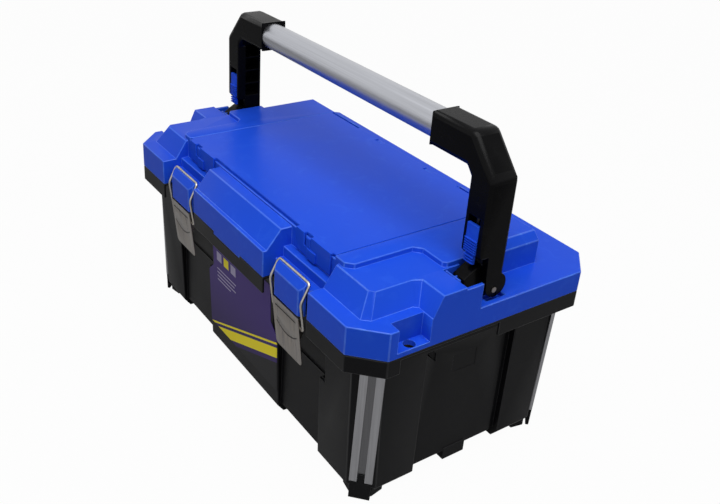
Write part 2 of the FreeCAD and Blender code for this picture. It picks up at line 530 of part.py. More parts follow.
def make_cover():
    """Organiser cover: flush plate with a stiffening rib, two snap tongues and hinge knuckles."""
    cover = new_body("organizer_cover")
    half = "cover_length/2"
    grow(cover, "XY", "lid_top - 3.6", "3.6", box_loop(f"-{half}", half, "-cover_front", "cover_back"))
    # finger flaps that hang into the latch bays, with a snap tongue on each
    grow(cover, "XY", "front_ledge + 4", "lid_top - front_ledge - 5",
         *both(lambda side: box_loop(f"{side}*bay - 34", f"{side}*bay + 34", "-cover_front - 4.6",
                                     "-cover_front - 2.4")))
    grow(cover, "XY", "lid_top - 3.6", "3.6",
         *both(lambda side: box_loop(f"{side}*bay - 34", f"{side}*bay + 34", "-cover_front - 4.6",
                                     "-cover_front + 1")))
    grow(cover, "XY", "front_ledge + 3", "12",
         *both(lambda side: box_loop(f"{side}*bay - 8", f"{side}*bay + 8", "-cover_front - 6.6",
                                     "-cover_front - 4")))
    carve(cover, "XY", "front_ledge + 14", "lid_top - front_ledge",
          *both(lambda side: box_loop(f"{side}*bay - 17", f"{side}*bay - 4", "-cover_front - 5", "-cover_front - 0.6")))
    grow(cover, "XY", "front_ledge + 12", "lid_top - front_ledge - 16",
         *both(lambda side: box_loop(f"{side}*bay - 14", f"{side}*bay - 6", "-cover_front - 4.2", "-cover_front - 2.4")))
    # knuckles round the hinge rod, clear of the lid's two lugs
    grow(cover, "YZ", "-rod_length/2 + 1", "rod_length - 2", ("circle", "rod_y", "rod_z", "3"))
    carve(cover, "XY", "rod_z - 5", "12",
          *both(lambda side: box_loop(f"{side}*52 - 7.5", f"{side}*52 + 7.5", "rod_y - 4.6", "cover_back + 4")),
          *both(lambda side: box_loop(f"{side}*(rod_length/2 - 1)", f"{side}*(cover_length/2 + 1)", "rod_y - 1",
                                      "cover_back + 4")))
    carve(cover, "YZ", "-rod_length/2 - 4", "rod_length + 8", ("circle", "rod_y", "rod_z", "rod_radius + fit"))
    return cover


def make_cover_rod():
    rod = new_body("organizer_hinge_rod")
    grow(rod, "YZ", "-rod_length/2 - 3", "rod_length + 6", ("circle", "rod_y", "rod_z", "rod_radius"))
    return rod


# ---------------------------------------------------------------- handle
def make_bracket(name, side):
    """Foot in the lid's bay with the upright lug that the pivot pin goes through."""
    bracket = new_body(f"handle_bracket_{name}")
    foot_start, foot_length = span(side, "arm_outer - arm_width", "arm_outer + 3")
    grow(bracket, "YZ", foot_start, foot_length,
         box_loop("-rib_back + lug_gap", "-arm_front - 2.5", "rear_ledge", "rear_ledge + 8"))
    grow(bracket, "YZ", f"{side}*lug_x - lug_half", "2*lug_half",
         [("-rib_back + lug_gap", "rear_ledge"), ("-rib_back + lug_gap", "pivot_z + 17"),
          ("-arm_front - 3", "pivot_z + 22"), ("pivot_y - 20.5", "pivot_z + 26.5"), ("pivot_y - 10.5", "pivot_z + 26.5"),
          ("pivot_y + hub_radius - 1.2", "pivot_z + 12"), ("pivot_y + hub_radius - 1.2", "rear_ledge")])
    # cored out from the front, as two webs and a floor
    for web in ("-1", "1"):
        carve(bracket, "XZ", "-rib_back - 1", "11",
              box_loop(f"{side}*lug_x + {web}*3.5 - 2.4", f"{side}*lug_x + {web}*3.5 + 2.4", "rear_ledge + 10",
                       "pivot_z + 14"))
    carve(bracket, "YZ", f"{side}*lug_x - 20", "40", ("circle", "pivot_y", "pivot_z", "pin_radius + fit"))
    return bracket


def make_arm(name, side):
    """Moulded elbow and upright of the handle, open and ribbed on its inner side."""
    arm = new_body(f"handle_arm_{name}")
    inner, middle_y = "arm_outer - arm_width", "(arm_back - arm_front)/2"
    grow(arm, "XZ", "-arm_front", "arm_front + arm_back",
         [(f"{side}*elbow_end", "bar_z - elbow_half"), (f"{side}*({inner} - 9)", "bar_z - elbow_half"),
          (f"{side}*({inner})", "bar_z - elbow_half - 11"), (f"{side}*({inner})", "slide_base - 3"),
          (f"{side}*arm_outer", "slide_base - 3"), (f"{side}*arm_outer", "bar_z - elbow_half - 1"),
          (f"{side}*(arm_outer - 34)", "bar_z + elbow_half"), (f"{side}*elbow_end", "bar_z + elbow_half")])
    # two cheeks reach down past the lug to the pivot pin
    for low, high, *hub in ((inner, "lug_x - lug_half - lug_gap", "pivot_y", "pivot_z", "hub_radius"),
                            ("lug_x + lug_half + lug_gap", "arm_outer", "pivot_y + cheek_y", "pivot_z + cheek_z",
                             "cheek_radius")):
        start, length = span(side, low, high)
        grow(arm, "YZ", start, length,
             [("pivot_y - hub_radius", "pivot_z"), ("pivot_y - hub_radius - 3", "pivot_z + 16"),
              ("pivot_y - 14.5", "slide_base - 2"), ("arm_back", "slide_base - 2"), ("arm_back", "pivot_z")])
        grow(arm, "YZ", start, length, ("circle", *hub))
    # hollow with ribs across it, open on the inner side
    start, length = span(side, f"{inner} - 1", "arm_outer - 1.5*wall")
    carve(arm, "YZ", start, length,
          *(box_loop("-arm_front + slide_thick + 8", "arm_back - wall", f"slide_base + 2 + {step}*19",
                     f"slide_base + 19 + {step}*19") for step in ("0", "1", "2", "3")))
    # opening for the slide lock, pocket for its spring, socket for the tube
    carve(arm, "XZ", "-arm_front - 1", "slide_thick + 8",
          box_loop(f"{side}*lug_x - slide_half - slide_gap", f"{side}*lug_x + slide_half + slide_gap",
                   "slide_base - 20", "slide_top + slide_travel + 1"))
    start, length = span(side, "elbow_end - 1", "elbow_end + 50")
    carve(arm, "YZ", start, length, ("circle", middle_y, "bar_z", "tube_radius + fit"))
    carve(arm, "YZ", f"{side}*lug_x - 30", "60", ("circle", "pivot_y", "pivot_z", "pin_radius + fit"))
    return arm


def make_tube():
    """Aluminium carry tube, its ends inside the sockets of the two elbows."""
    tube = new_body("handle_tube")
    centre = ("(arm_back - arm_front)/2", "bar_z")
    grow(tube, "YZ", "-elbow_end - 48", "2*elbow_end + 96", ("circle", *centre, "tube_radius"),
         ("circle", *centre, "tube_radius - tube_wall"))
    return tube


def make_slide(name, side):
    """Slide lock on the front of an arm: ribbed grip, tongue below and a seat for its spring."""
    slide = new_body(f"slide_button_{name}")
    left, right = f"{side}*lug_x - slide_half", f"{side}*lug_x + slide_half"
    grow(slide, "XY", "slide_base", "slide_top - slide_base",
         box_loop(left, right, "-arm_front", "-arm_front + slide_thick"))
    for step in range(6):
        grow(slide, "XY", f"slide_base + 0.8 + {step}*2.7", "1.5",
             box_loop(left, right, "-arm_front - 1.6", "-arm_front + 1"))
    grow(slide, "XY", "slide_base - 12", "13",
         box_loop(f"{side}*lug_x - 6", f"{side}*lug_x + 6", "-arm_front + 0.5", "-arm_front + slide_thick - 0.5"))
    grow(slide, "XY", "slide_base", "8",
         box_loop(f"{side}*lug_x - 5", f"{side}*lug_x + 5", "-arm_front + 1", "-arm_front + slide_thick + 6"))
    return slide


def make_slide_spring(name, side):
    """Coil spring behind a slide, drawn as the sleeve that its coils fill."""
    spring = new_body(f"slide_spring_{name}")
    centre = (f"{side}*lug_x", "-arm_front + slide_thick + spring_radius + 0.6")
    grow(spring, "XY", "slide_base + 8.2", "slide_top + slide_travel - slide_base - 7.5",
         ("circle", *centre, "spring_radius"), ("circle", *centre, "spring_radius - 0.8"))
    return spring


def make_pivot_pin(name, side):
    """Steel pivot pin with a wide head on the outer cheek."""
    pin = new_body(f"pivot_pin_{name}")
    start, length = span(side, "arm_outer - arm_width + 0.5", "arm_outer + 0.5")
    grow(pin, "YZ", start, length, ("circle", "pivot_y", "pivot_z", "pin_radius"))
    start, length = span(side, "arm_outer + 0.05", "arm_outer + 0.9")
    grow(pin, "YZ", start, length, ("circle", "pivot_y", "pivot_z", "pin_radius + 0.5"))
    return pin


# ---------------------------------------------------------------- latches
def make_bail(name, side):
    """Steel wire loop of one latch; its ends turn inwards through the plate's ears."""
    bail = new_body(f"latch_bail_{name}")
    middle, across = f"{side}*bay", "2*bail_half + 2*wire_radius"
    grow(bail, "YZ", f"{middle} - bail_half - wire_radius", across,
         twelve_sides("-wire_y", "wire_z", "wire_radius"))
    for hand in ("-1", "1"):
        grow(bail, "YZ", f"{middle} + {hand}*bail_half - wire_radius", "2*wire_radius",
             [("-wire_y - 1.1", "wire_z + 1.1"), ("-wire_y + 1.3", "wire_z - 1"), ("-bend_y + wire_radius", "bend_z - 0.6"),
              ("-plate_pivot_y + wire_radius", "plate_pivot_z"), ("-plate_pivot_y - wire_radius", "plate_pivot_z"),
              ("-bend_y - wire_radius", "bend_z + 0.4")])
        grow(bail, "YZ", f"{middle} + {hand}*(bail_half - 3.3) - 4.9", "9.8",
             twelve_sides("-plate_pivot_y", "plate_pivot_z", "wire_radius"))
    return bail


def make_plate(name, side):
    """Pressed steel plate of one latch, leaning back along the channel, with an ear on each side."""
    plate = new_body(f"latch_plate_{name}")
    middle = f"{side}*bay"
    back, low_back = "(plate_front - plate_thick)", "(plate_front - plate_thick - plate_lean)"
    grow(plate, "YZ", f"{middle} - plate_half", "2*plate_half",
         [(f"-{back}", "plate_top"), ("-plate_front", "plate_top"), ("-plate_front + plate_lean", "plate_base"),
          (f"-{low_back}", "plate_base")])
    for hand in ("-1", "1"):
        grow(plate, "YZ", f"{middle} + {hand}*(plate_half - plate_thick/2) - plate_thick/2", "plate_thick",
             [("-plate_front + 0.4", "plate_top - 2"), ("-plate_pivot_y + 3.2", "plate_top - 5"),
              ("-plate_pivot_y + 3.2", "plate_pivot_z - 5"),
              ("-plate_front + 4", "plate_pivot_z - 16")])
    # hook behind the sheet that engages the tub's ledge
    grow(plate, "YZ", f"{middle} - 16", "32",
         [("-plate_front + 1", "plate_top - 5.5"), ("-plate_front + 5.8", "plate_top - 5.5"),
          ("-plate_front + 5.8", "plate_top - 7.9"), ("-plate_front + 1.3", "plate_top - 9.1")])
    carve(plate, "YZ", f"{middle} - plate_half - 1", "2*plate_half + 2",
          ("circle", "-plate_pivot_y", "plate_pivot_z", "wire_radius + fit"))
    return plate


# ---------------------------------------------------------------- corners, hinge pins, label
def make_strip(name, turn, side, front):
    """Aluminium corner strip with a wide groove, standing on the tub's cut corner."""
    strip = new_body(f"corner_strip_{name}")
    half, groove = "strip_width/2", "-strip_thick + 1.6"
    grow(strip, "XY", "0", "rim_base - strip_base - seam",
         [(f"-{half}", "0"), (half, "0"), (half, "-strip_thick"), ("groove_half", "-strip_thick"),
          ("groove_half", groove), ("-groove_half", groove), ("-groove_half", "-strip_thick"),
          (f"-{half}", "-strip_thick")])
    seat_on_corner(strip, turn, side, front)
    return strip


def make_strip_foot(name, turn, side, front):
    """Black end cap below a corner strip, with a tongue in the strip's groove."""
    foot = new_body(f"strip_foot_{name}")
    half = "strip_width/2"
    grow(foot, "XY", "-strip_base + 1", "strip_base - 1.3",
         box_loop(f"-{half} + 1", f"{half} - 1", "-strip_thick", "0"))
    grow(foot, "XY", "-1", "12", box_loop("-groove_half + 0.4", "groove_half - 0.4", "-strip_thick",
                                          "-strip_thick + 1.6"))
    seat_on_corner(foot, turn, side, front)
    return foot


def seat_on_corner(piece, turn, side, front):
    """Stand a piece on the tub's cut corner: facing outwards, leaning both ways with the draft."""
    outward = math.degrees(math.atan(number(f"(body_draft_x + body_draft_y)/1.4142/{RISE}")))
    sideways = math.degrees(math.atan(number(f"(body_draft_y - body_draft_x)/1.4142/{RISE}")))
    if side == front:
        sideways = -sideways
    rotation = FreeCAD.Rotation(FreeCAD.Vector(0, 0, 1), turn)
    rotation *= FreeCAD.Rotation(FreeCAD.Vector(1, 0, 0), outward)
    rotation *= FreeCAD.Rotation(FreeCAD.Vector(0, 1, 0), sideways)
    drop = f"(parting - rim_lap - strip_base)/{RISE}"
    place(piece, f"{side}*(body_length/2 - body_draft_x*{drop} - body_corner/2)",
          f"{front}*(body_width/2 - body_draft_y*{drop} - body_corner/2)", "strip_base", rotation)


def make_hinge_pin(name, side):
    pin = new_body(f"hinge_pin_{name}")
    grow(pin, "YZ", f"{side}*hinge_x - 1.5*knuckle_length", "3*knuckle_length",
         ("circle", "hinge_y", "hinge_z", "hinge_pin_radius"))
    return pin


def make_label():
    """Printed label on the front wall between the two latch channels, leaning with the wall."""
    label = new_body("front_label")
    edge, narrow = "label_half", "(bay - pocket_half - wall - 1)"
    grow(label, "XZ", "-label_thick", "label_thick",
         [(f"-{edge}", "0"), (edge, "0"), (edge, "pocket_base - label_base - 4"),
          (narrow, "pocket_base - label_base + 10"), (narrow, "label_top - label_base"),
          (f"-{narrow}", "label_top - label_base"), (f"-{narrow}", "pocket_base - label_base + 10"),
          (f"-{edge}", "pocket_base - label_base - 4")])
    lean = math.degrees(math.atan(number(f"body_draft_y/{RISE}")))
    place(label, "0", f"-(body_width/2 - body_draft_y + (label_base - bevel_top)*body_draft_y/{RISE})",
          "label_base", FreeCAD.Rotation(FreeCAD.Vector(1, 0, 0), lean))
    return label


pieces += [make_tub(), make_lid(), make_cover(), make_cover_rod(), make_tube(), make_label()]
for name, side in SIDES:
    pieces += [make_bracket(name, side), make_arm(name, side),
               make_slide(name, side), make_slide_spring(name, side), make_pivot_pin(name, side),
               make_bail(name, side), make_plate(name, side), make_hinge_pin(name, side)]
for name, turn, side, front in (("front_left", -45, "-1", "-1"), ("front_right", 45, "1", "-1"),
                                ("rear_right", 135, "1", "1"), ("rear_left", 225, "-1", "1")):
    pieces += [make_strip(name, turn, side, front), make_strip_foot(name, turn, side, front)]

# ---------------------------------------------------------------- checks and export
doc.recompute()
for item in doc.Objects:
    bad = {"Invalid", "Error"} & set(item.State)
    if bad:
        raise RuntimeError(f"{item.Name} ({item.Label}) is {bad}")
for piece in pieces:
    if piece.Shape.isNull() or not piece.Shape.isValid():
        raise RuntimeError(f"{piece.Label} has no valid shape")

os.makedirs("parts", exist_ok=True)
for piece in pieces:
    piece.Shape.exportStep(os.path.join("parts", f"{piece.Label}.step"))
    print(f"{piece.Label:26s} solids {len(piece.Shape.Solids)}  {piece.Shape.Volume / 1000:9.2f} cm3")
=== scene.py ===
"""Looks of a plastic tool box: blue lid with an organiser cover, black tub, aluminium carry tube.

The frame gives every solid in metres: X along the box, -Y towards the latches, Z up.
"""
import json
import math

import bmesh
import bpy
from bpy.props import FloatProperty, FloatVectorProperty, IntProperty, PointerProperty
from mathutils import Matrix, Vector
from mathutils.geometry import intersect_point_line


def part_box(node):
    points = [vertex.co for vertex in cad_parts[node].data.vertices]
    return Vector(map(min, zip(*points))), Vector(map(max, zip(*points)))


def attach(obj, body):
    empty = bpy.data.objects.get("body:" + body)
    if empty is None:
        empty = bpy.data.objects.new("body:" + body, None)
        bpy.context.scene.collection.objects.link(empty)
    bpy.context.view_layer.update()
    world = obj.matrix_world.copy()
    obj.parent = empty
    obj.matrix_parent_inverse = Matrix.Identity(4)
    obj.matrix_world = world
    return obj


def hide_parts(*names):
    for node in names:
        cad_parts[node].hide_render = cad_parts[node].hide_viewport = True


bl_info = {
    "name": "Organiser Tool Box",
    "version": (1, 0, 0),
    "blender": (4, 5, 0),
    "location": "View3D > Sidebar > Tool Box",
    "description": "Moulded shells, metal parts and printed label of a tool box with an organiser lid",
    "category": "Object",
}

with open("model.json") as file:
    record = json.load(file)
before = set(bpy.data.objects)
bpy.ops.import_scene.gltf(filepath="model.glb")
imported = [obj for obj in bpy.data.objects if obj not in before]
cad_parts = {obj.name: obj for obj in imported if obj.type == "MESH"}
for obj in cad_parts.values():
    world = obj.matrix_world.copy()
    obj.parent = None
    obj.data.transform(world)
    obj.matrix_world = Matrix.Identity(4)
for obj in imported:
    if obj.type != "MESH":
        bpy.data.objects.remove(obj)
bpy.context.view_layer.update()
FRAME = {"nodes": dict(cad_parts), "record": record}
SIDES = ("left", "right")
CORNERS = ("front_left", "front_right", "rear_left", "rear_right")
MATERIALS = {}  # the finishes made so far
TOUCHING = 1e-6  # points nearer than this are one point
NEAR = 1e-5  # points nearer than this to a line lie on it
FLAT = math.radians(0.4)  # faces that meet at less than this are one face
SHARP = math.radians(24)  # edges that turn more than this are rounded
CREASE = math.radians(35)  # edges that turn more than this are shaded as sharp
INNER_SHARE = 0.4  # rounding of an inner corner as a share of an outer one's
STRIP_SHARE = 0.42  # rounding takes at most this share of the strip beside an edge


# ---------------------------------------------------------------- settings
class MouldingSettings(bpy.types.PropertyGroup):
    """Edge radii left by the moulds."""

    shell_radius: FloatProperty(name="Shell Edge Radius", description="Rounding of the tub's and lid's edges",
                                default=0.0011, min=0.0001, unit="LENGTH")
    arm_radius: FloatProperty(name="Arm Edge Radius", description="Rounding of the handle arms' edges",
                              default=0.0065, min=0.0001, unit="LENGTH")
    metal_radius: FloatProperty(name="Metal Edge Radius",
                                description="Rounding of pressed and drawn metal edges",
                                default=0.0003, min=0.00005, unit="LENGTH")
    edge_steps: IntProperty(name="Edge Steps", description="Facets across a rounded edge", default=3, min=1,
                            max=6)


class FinishSettings(bpy.types.PropertyGroup):
    """Colours of the plastics, the metals and the print."""

    lid_blue: FloatVectorProperty(name="Lid Blue", description="Colour of the lid's plastic", subtype="COLOR",
                                  default=(0.013, 0.079, 0.7), min=0, max=1)
    tub_black: FloatVectorProperty(name="Tub Black", description="Colour of the tub's and handle's plastic",
                                   subtype="COLOR", default=(0.0042, 0.0042, 0.005), min=0, max=1)
    aluminium: FloatVectorProperty(name="Tube Aluminium", description="Colour of the carry tube",
                                   subtype="COLOR", default=(0.45, 0.46, 0.495), min=0, max=1)
    strip_metal: FloatVectorProperty(name="Strip Aluminium", description="Colour of the corner strips",
                                     subtype="COLOR", default=(0.33, 0.33, 0.345), min=0, max=1)
    steel: FloatVectorProperty(name="Latch Steel", description="Colour of the plated latches and pins",
                               subtype="COLOR", default=(0.27, 0.252, 0.242), min=0, max=1)
    wire: FloatVectorProperty(name="Wire Steel", description="Colour of the latches' wire", subtype="COLOR",
                              default=(0.5, 0.48, 0.45), min=0, max=1)
    label_field: FloatVectorProperty(name="Label Field", description="Ground colour of the front label",
                                     subtype="COLOR", default=(0.03, 0.014, 0.105), min=0, max=1)
    label_accent: FloatVectorProperty(name="Label Accent", description="Bands across the front label",
                                      subtype="COLOR", default=(0.95, 0.8, 0.015), min=0, max=1)


class StageSettings(bpy.types.PropertyGroup):
    """Camera and lamps."""

    camera_place: FloatVectorProperty(name="Camera Place", description="Where the camera stands",
                                      subtype="TRANSLATION", unit="LENGTH",
                                      default=(0.7836, -0.56545, 0.7070))
    lens: FloatProperty(name="Lens", description="Focal length in millimetres", default=42.36, min=10)
    key_power: FloatProperty(name="Key Light", description="Power of the large front light in watts",
                             default=26, min=0)
    fill_power: FloatProperty(name="Fill Light", description="Power of the light from the right in watts",
                              default=0.2, min=0)
    sky: FloatProperty(name="Sky Strength", description="Strength of the even light from all round",
                       default=0.27, min=0)


SETTINGS = {"toolbox_moulding": MouldingSettings, "toolbox_finish": FinishSettings,
            "toolbox_stage": StageSettings}


# ---------------------------------------------------------------- material helpers
class Nodes:
    """Short ways to add to a node tree."""

    def __init__(self, tree):
        self.tree = tree

    def feed(self, target, value):
        """Join a socket to an input, or give the input a fixed number, vector or colour."""
        if hasattr(value, "is_output"):
            self.tree.links.new(value, target)
        elif target.type == "RGBA":
            target.default_value = (*value, 1)
        else:
            target.default_value = value

    def add(self, kind, feeds=None, **values):
        """A new node with what goes into its inputs and with its other settings."""
        node = self.tree.nodes.new(kind)
        for key, value in values.items():
            setattr(node, key, value)
        for socket, value in (feeds or {}).items():
            self.feed(node.inputs[socket], value)
        return node

    def maths(self, operation, first, second):
        """A sum of two sockets or plain numbers."""
        return self.add("ShaderNodeMath", {0: first, 1: second}, operation=operation).outputs["Value"]

    def mixed(self, factor, first, second):
        """Two shaders mixed by a factor."""
        return self.add("ShaderNodeMixShader", {0: factor, 1: first, 2: second}).outputs["Shader"]


class Finish(Nodes):
    """A new material with a Principled shader, its textures in object coordinates."""

    def __init__(self, name, colour, roughness, metallic=0.0):
        self.material = bpy.data.materials.new(name)
        self.material.use_nodes = True
        super().__init__(self.material.node_tree)
        self.shader = self.tree.nodes["Principled BSDF"]
        self.surface("Base Color", colour)
        self.surface("Roughness", roughness)
        self.surface("Metallic", metallic)
        self.place = self.add("ShaderNodeTexCoord").outputs["Object"]

    def surface(self, socket, value):
        """A fixed or varying value for an input of the shader."""
        self.feed(self.shader.inputs[socket], value)

    def stretched(self, scale):
        """Object coordinates scaled along each axis."""
        return self.add("ShaderNodeMapping", {"Scale": scale, "Vector": self.place}).outputs["Vector"]

    def noise(self, scale, detail, place=None, distortion=0.0):
        """Grey noise in object coordinates, or in the place that is given."""
        return self.add("ShaderNodeTexNoise", {"Scale": scale, "Detail": detail, "Distortion": distortion,
                                               "Vector": place or self.place}).outputs["Fac"]

    def between(self, factor, low, high, start=0.3, end=0.7):
        """A value that runs from low to high as the factor runs from start to end."""
        return self.add("ShaderNodeMapRange", {"From Min": start, "From Max": end, "To Min": low,
                                               "To Max": high, "Value": factor}).outputs["Result"]

    def within(self, value, low, high):
        """One where a value lies between two limits, else nought."""
        return self.maths("MULTIPLY", self.maths("GREATER_THAN", value, low),
                          self.maths("LESS_THAN", value, high))

    def tint(self, factor, first, second):
        """A colour between two, by a factor."""
        mix = self.add("ShaderNodeMix", {"Factor": factor}, data_type="RGBA")
        for socket, colour in zip([end for end in mix.inputs if end.type == "RGBA"], (first, second)):
            self.feed(socket, colour)
        return next(end for end in mix.outputs if end.type == "RGBA")

    def relief(self, height, depth, strength, under=None):
        """Bump of a height field, on top of another bump if one is given."""
        feeds = {"Strength": strength, "Distance": depth, "Height": height}
        if under:
            feeds["Normal"] = under
        return self.add("ShaderNodeBump", feeds).outputs["Normal"]


def scaled(colour, factor):
    """A colour made darker or lighter, no part above one."""
    return tuple(min(1, factor * part) for part in colour)


def painted_highlight_tone(colour, pale, share):
    """A colour part of the way to a paler one, for the painted highlight on rounded edges."""
    return [own + share * (lighter - own) for own, lighter in zip(colour, pale)]


def moulded_plastic(name, colour, pale, roughness, shine, rubbing=0.12):
    """Injection-moulded plastic: fine eroded grain, faint flow clouds, paler scuffs."""
    finish = Finish(name, colour, roughness)
    finish.surface("Specular IOR Level", shine)
    clouds = finish.noise(9, detail=4, distortion=0.6)
    grain = finish.noise(1500, detail=2)
    ripple = finish.noise(60, detail=3)
    scuffs = finish.between(finish.noise(45, detail=6, distortion=1.2), 0, 1, 0.56, 0.8)
    shade = finish.tint(clouds, scaled(colour, 0.9), colour)
    finish.surface("Base Color", finish.tint(finish.maths("MULTIPLY", scuffs, rubbing), shade, pale))
    finish.surface("Roughness", finish.between(clouds, roughness - 0.05, roughness + 0.05))
    swell = finish.relief(ripple, 0.0006, 0.05)
    finish.surface("Normal", finish.relief(grain, 0.00025, 0.16, swell))
    return finish.material


def drawn_aluminium(name, colour, along):
    """Anodised aluminium with fine streaks along one axis."""
    finish = Finish(name, colour, 0.42, metallic=1.0)
    scale = [620.0, 620.0, 620.0]
    scale["XYZ".index(along)] = 5.0
    streaks = finish.noise(1, detail=6, place=finish.stretched(scale))
    haze = finish.noise(14, detail=3)
    shade = finish.tint(finish.between(streaks, 0, 1), scaled(colour, 0.88), scaled(colour, 1.08))
    finish.surface("Base Color", shade)
    finish.surface("Roughness", finish.maths("ADD", finish.between(streaks, 0.3, 0.4),
                                             finish.between(haze, -0.03, 0.05)))
    finish.surface("Normal", finish.relief(streaks, 0.00012, 0.25))
    return finish.material


def plated_steel(name, colour):
    """Zinc-plated sheet steel: faint spangle and rolling lines."""
    finish = Finish(name, colour, 0.3, metallic=1.0)
    spangle = finish.add("ShaderNodeTexVoronoi", {"Scale": 260, "Vector": finish.place})
    rolling = finish.noise(1, detail=4, place=finish.stretched((420, 60, 18)))
    warm = tuple(part * factor for part, factor in zip(colour, (1.12, 1.08, 1.0)))
    shade = finish.tint(finish.between(rolling, 0, 1), scaled(colour, 0.72), warm)
    grains = finish.between(spangle.outputs["Distance"], 0, 0.35, 0, 1)
    finish.surface("Base Color", finish.tint(grains, shade, colour))
    finish.surface("Roughness", finish.between(rolling, 0.24, 0.4))
    finish.surface("Normal", finish.relief(rolling, 0.0001, 0.3))
    return finish.material


def label_patches(accent, pale):
    """Squares and rules of the label: left edge, length, lower edge, height and colour of each."""
    left, square, spacing, row = -0.064, 0.013, 0.019, 0.146
    for step, shade in enumerate((pale, accent, pale)):
        yield left + spacing * step, square, row, square, shade
    rule, line, top = 0.0017, 0.0055, 0.133
    for step, length in enumerate((0.051, 0.047, 0.05, 0.036)):
        yield left, length, top - line * step, rule, pale


def printed_film(name, field, accent):
    """Label film: a field that lightens upwards, slanted bands, a row of squares and short pale rules."""
    finish = Finish(name, field, 0.32)
    finish.surface("Specular IOR Level", 0.08)
    place = finish.add("ShaderNodeSeparateXYZ", {"Vector": finish.place}).outputs
    across, up = place["X"], place["Z"]
    colour = finish.tint(finish.between(up, 0, 1, 0.05, 0.17), field, scaled(field, 2.2))
    slant = finish.maths("ADD", up, finish.maths("MULTIPLY", across, -0.42))
    dark = (0.01, 0.01, 0.012)
    for low, high, shade in ((0.052, 0.067, accent), (0.0715, 0.0745, accent), (0.0, 0.045, dark)):
        colour = finish.tint(finish.within(slant, low, high), colour, shade)
    for left, length, low, height, shade in label_patches(accent, (0.42, 0.38, 0.56)):
        inside = finish.maths("MULTIPLY", finish.within(across, left, left + length),
                              finish.within(up, low, low + height))
        colour = finish.tint(inside, colour, shade)
    finish.surface("Base Color", colour)
    finish.surface("Normal", finish.relief(finish.noise(35, detail=2), 0.0004, 0.12))
    return finish.material


def finish_makers():
    """What makes each finish, with its values, from the settings."""
    tone = bpy.context.scene.toolbox_finish
    black, blue = tone.tub_black, tone.lid_blue
    black_scuff, edge_highlight_pale = (0.02, 0.02, 0.022), (0.03, 0.03, 0.032)
    return {
        "black_plastic": (moulded_plastic, black, black_scuff, 0.36, 0.09),
        # Rounded edges of the tub: the black made paler, a painted highlight along the edges.
        "black_edge": (moulded_plastic, painted_highlight_tone(black, (0.03, 0.03, 0.033), 0.3), edge_highlight_pale, 0.32, 0.16),
        "blue_plastic": (moulded_plastic, blue, (0.07, 0.24, 0.92), 0.33, 0.06),
        # Rounded edges of the lid: the blue made paler and scuffed pale five times as strongly as the faces,
        # a painted highlight along the edges.
        "blue_edge": (moulded_plastic, painted_highlight_tone(blue, (0.09, 0.27, 0.95), 0.3), (0.09, 0.3, 0.95), 0.3, 0.3,
                      0.6),
        # The handle arms: the tub's black darkened to 45 per cent, painted shade.
        "handle_black": (moulded_plastic, scaled(black, 0.45), black_scuff, 0.27, 0.05),
        # Rounded edges of the arms: the tub's black darkened to half (painted shade), a little paler than the
        # arms' faces (painted highlight).
        "handle_edge": (moulded_plastic, scaled(black, 0.5), black_scuff, 0.24, 0.08),
        "tube_aluminium": (drawn_aluminium, tone.aluminium, "X"),
        "strip_aluminium": (drawn_aluminium, tone.strip_metal, "Z"),
        # Groove floors of the corner strips: the strip's aluminium darkened to 42 per cent, painted shade in
        # the groove.
        "groove_aluminium": (drawn_aluminium, scaled(tone.strip_metal, 0.42), "Z"),
        "latch_steel": (plated_steel, tone.steel),
        # Faces inside the latch plates' grooves: the steel darkened to 6 per cent, painted shade in the
        # grooves.
        "groove_steel": (plated_steel, scaled(tone.steel, 0.06)),
        "wire_steel": (plated_steel, tone.wire),
        # Slide springs near black: painted shade standing in for the dark slot above the slide.
        "spring_steel": (plated_steel, (0.03, 0.03, 0.03)),
        "label_film": (printed_film, tone.label_field, tone.label_accent),
    }


def finish_named(name):
    """One of the object's finishes, made at its first use."""
    if name not in MATERIALS:
        make, *values = finish_makers()[name]
        MATERIALS[name] = make(name, *values)
    return MATERIALS[name]


# ---------------------------------------------------------------- mesh helpers
def merged_copy(node):
    """A bmesh of a solid of the frame, its triangles merged into flat faces."""
    mesh = bmesh.new()
    mesh.from_mesh(FRAME["nodes"][node].data)
    bmesh.ops.remove_doubles(mesh, verts=mesh.verts, dist=TOUCHING)
    bmesh.ops.dissolve_limit(mesh, angle_limit=FLAT, verts=mesh.verts, edges=mesh.edges,
                             use_dissolve_boundaries=False)
    return mesh


def gap_to_edge(place, edge):
    """Distance from a point to an edge."""
    first, second = (vert.co for vert in edge.verts)
    share = min(max(intersect_point_line(place, first, second)[1], 0), 1)
    return (place - first.lerp(second, share)).length


def strip_width(edge):
    """Width of the narrowest strip that an edge leaves on one of its faces."""
    width = math.inf
    for face in edge.link_faces:
        for vert in face.verts:
            if vert not in edge.verts:
                width = min(width, gap_to_edge(vert.co, edge))
        for other in face.edges:
            if not set(other.verts) & set(edge.verts):
                width = min(width, *(gap_to_edge(vert.co, other) for vert in edge.verts))
    return width


def weigh_edges(mesh, width, limit=None):
    """Bevel weight on each sharp edge: less in inner corners, on narrow strips and beside short edges."""
    weights = mesh.edges.layers.float.new("bevel_weight_edge")
    for edge in mesh.edges:
        if len(edge.link_faces) != 2 or edge.calc_face_angle(0) < SHARP:
            continue
        room = min(width if edge.is_convex else INNER_SHARE * width, STRIP_SHARE * strip_width(edge))
        if limit:
            room = min(room, limit(edge))
        for corner in edge.verts:
            for other in corner.link_edges:
                if other is not edge and set(other.link_faces) & set(edge.link_faces):
                    room = min(room, STRIP_SHARE * other.calc_length())
        edge[weights] = room / width


def joint_place(name):
    """Where the axis of one of the frame's joints lies."""
    joints = FRAME["record"]["behaviour"]["joints"]
    return Vector(next(joint["pos_m"] for joint in joints if joint["name"] == name))


